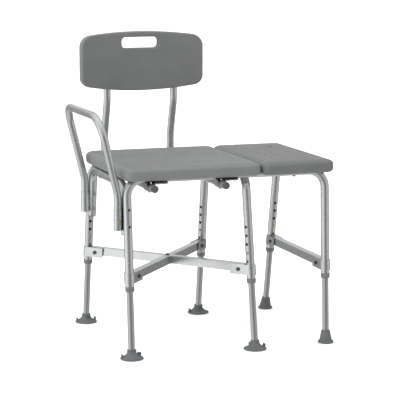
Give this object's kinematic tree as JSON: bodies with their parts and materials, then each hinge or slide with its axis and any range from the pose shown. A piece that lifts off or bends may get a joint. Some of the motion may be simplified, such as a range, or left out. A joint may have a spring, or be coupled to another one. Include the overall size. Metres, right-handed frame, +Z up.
{
  "type": "bath transfer bench",
  "caption": "Grey bath transfer bench with a moulded seat and transfer extension, side arm, slotted backrest and height-adjustable splayed legs with suction feet and plain tips.",
  "frame": {"origin": "floor level under the centre of the bench's overall outline", "axes": "+Z up; +X along the bench from the arm towards the transfer extension; -Y towards the sitter's front, so the backrest is on the +Y side"},
  "size_m": [0.729, 0.5784, 0.9073],
  "materials": {
    "panel_plastic": "fine-grained blow-moulded polyethylene",
    "grey_tube": "satin anodised grey",
    "inner_tube": "matt anodised grey, a little darker than the outer tubes",
    "black_steel": "black oxide",
    "dark_plastic": "dark grey moulded",
    "grey_rubber": "matt dark grey",
    "zinc_steel": "zinc plated",
    "button_brass": "yellow passivated spring steel"
  },
  "bodies": {
    "frame": {"main_seat_panel": "panel_plastic", "transfer_seat_panel": "panel_plastic", "seat_panel_screws": "zinc_steel", "front_rail_frame": "grey_tube", "rear_rail_frame": "grey_tube", "middle_leg_frame": "grey_tube", "left_side_frame": "grey_tube", "side_frame_bolts": "black_steel", "side_frame_nuts": "zinc_steel", "side_frame_plugs": "dark_plastic", "backrest_tube_saddles": "grey_tube", "saddle_screws": "zinc_steel", "leg_collars": "dark_plastic", "cross_brace_upper": "grey_tube", "cross_brace_lower": "grey_tube", "cross_brace_pivot_bolt": "zinc_steel", "cross_brace_pivot_nut": "zinc_steel", "right_spreader_bar": "grey_tube", "brace_brackets": "grey_tube", "brace_bracket_bolts": "zinc_steel", "brace_bracket_nuts": "zinc_steel"},
    "arm": {"arm_rail": "grey_tube"},
    "backrest": {"backrest_panel": "panel_plastic", "backrest_tube_left": "grey_tube", "backrest_tube_right": "grey_tube", "backrest_tube_end_plugs": "dark_plastic", "backrest_screws": "zinc_steel"},
    "leg_left_front": {"leg_extension_left_front": "inner_tube", "suction_foot_left_front": "grey_rubber"},
    "leg_button_left_front": {"snap_button_left_front": "button_brass"},
    "leg_left_rear": {"leg_extension_left_rear": "inner_tube", "suction_foot_left_rear": "grey_rubber"},
    "leg_button_left_rear": {"snap_button_left_rear": "button_brass"},
    "leg_middle_front": {"leg_extension_middle_front": "inner_tube", "suction_foot_middle_front": "grey_rubber"},
    "leg_button_middle_front": {"snap_button_middle_front": "button_brass"},
    "leg_middle_rear": {"leg_extension_middle_rear": "inner_tube", "suction_foot_middle_rear": "grey_rubber"},
    "leg_button_middle_rear": {"snap_button_middle_rear": "button_brass"},
    "leg_right_front": {"leg_extension_right_front": "inner_tube", "rubber_tip_right_front": "grey_rubber"},
    "leg_button_right_front": {"snap_button_right_front": "button_brass"},
    "leg_right_rear": {"leg_extension_right_rear": "inner_tube", "rubber_tip_right_rear": "grey_rubber"},
    "leg_button_right_rear": {"snap_button_right_rear": "button_brass"},
    "arm_button_front": {"snap_button_arm_front": "button_brass"},
    "arm_button_rear": {"snap_button_arm_rear": "button_brass"},
    "backrest_button_left": {"snap_button_backrest_left": "button_brass"},
    "backrest_button_right": {"snap_button_backrest_right": "button_brass"}
  },
  "joints": [
    {"name": "leg_slide_left_front", "type": "slide", "parent": "frame", "child": "leg_left_front", "axis": [-0.0107, -0.1185, -0.9929], "range_m": [-0.0762, 0.0254], "deforming": ["snap_button_left_front"]},
    {"name": "leg_button_press_left_front", "type": "slide", "parent": "leg_left_front", "child": "leg_button_left_front", "axis": [0.0013, -0.993, 0.1185], "range_m": [0, 0.0048], "stiffness_N_per_m": 1000, "springref_m": -0.002},
    {"name": "leg_slide_left_rear", "type": "slide", "parent": "frame", "child": "leg_left_rear", "axis": [-0.0107, 0.1185, -0.9929], "range_m": [-0.0762, 0.0254], "deforming": ["snap_button_left_rear"]},
    {"name": "leg_button_press_left_rear", "type": "slide", "parent": "leg_left_rear", "child": "leg_button_left_rear", "axis": [0.0013, 0.993, 0.1185], "range_m": [0, 0.0048], "stiffness_N_per_m": 1000, "springref_m": -0.002},
    {"name": "leg_slide_middle_front", "type": "slide", "parent": "frame", "child": "leg_middle_front", "axis": [0.0049, -0.1561, -0.9877], "range_m": [-0.0762, 0.0254], "deforming": ["snap_button_middle_front"]},
    {"name": "leg_button_press_middle_front", "type": "slide", "parent": "leg_middle_front", "child": "leg_button_middle_front", "axis": [0.8323, 0.5482, -0.0826], "range_m": [0, 0.0048], "stiffness_N_per_m": 1000, "springref_m": -0.002},
    {"name": "leg_slide_middle_rear", "type": "slide", "parent": "frame", "child": "leg_middle_rear", "axis": [0.0049, 0.1561, -0.9877], "range_m": [-0.0762, 0.0254], "deforming": ["snap_button_middle_rear"]},
    {"name": "leg_button_press_middle_rear", "type": "slide", "parent": "leg_middle_rear", "child": "leg_button_middle_rear", "axis": [0.832, 0.5473, 0.0906], "range_m": [0, 0.0048], "stiffness_N_per_m": 1000, "springref_m": -0.002},
    {"name": "leg_slide_right_front", "type": "slide", "parent": "frame", "child": "leg_right_front", "axis": [-0.032, -0.1184, -0.9924], "range_m": [-0.0762, 0.0254], "deforming": ["snap_button_right_front"]},
    {"name": "leg_button_press_right_front", "type": "slide", "parent": "leg_right_front", "child": "leg_button_right_front", "axis": [0.0038, -0.993, 0.1184], "range_m": [0, 0.0048], "stiffness_N_per_m": 1000, "springref_m": -0.002},
    {"name": "leg_slide_right_rear", "type": "slide", "parent": "frame", "child": "leg_right_rear", "axis": [-0.032, 0.1184, -0.9924], "range_m": [-0.0762, 0.0254], "deforming": ["snap_button_right_rear"]},
    {"name": "leg_button_press_right_rear", "type": "slide", "parent": "leg_right_rear", "child": "leg_button_right_rear", "axis": [0.0038, 0.993, 0.1184], "range_m": [0, 0.0048], "stiffness_N_per_m": 1000, "springref_m": -0.002},
    {"name": "arm_lift", "type": "slide", "parent": "frame", "child": "arm", "axis": [0, 0, 1], "range_m": [0, 0.08], "deforming": ["snap_button_arm_front", "snap_button_arm_rear"]},
    {"name": "arm_button_press_front", "type": "slide", "parent": "arm", "child": "arm_button_front", "axis": [0, 1, 0], "range_m": [0, 0.0048], "stiffness_N_per_m": 1000, "springref_m": -0.002},
    {"name": "arm_button_press_rear", "type": "slide", "parent": "arm", "child": "arm_button_rear", "axis": [0, -1, 0], "range_m": [0, 0.0048], "stiffness_N_per_m": 1000, "springref_m": -0.002},
    {"name": "backrest_slide", "type": "slide", "parent": "frame", "child": "backrest", "axis": [0, 1, 0], "range_m": [0, 0.45], "deforming": ["snap_button_backrest_left", "snap_button_backrest_right"]},
    {"name": "backrest_button_press_left", "type": "slide", "parent": "backrest", "child": "backrest_button_left", "axis": [0, 0, 1], "range_m": [0, 0.006], "stiffness_N_per_m": 1000, "springref_m": -0.002},
    {"name": "backrest_button_press_right", "type": "slide", "parent": "backrest", "child": "backrest_button_right", "axis": [0, 0, 1], "range_m": [0, 0.006], "stiffness_N_per_m": 1000, "springref_m": -0.002}
  ]
}
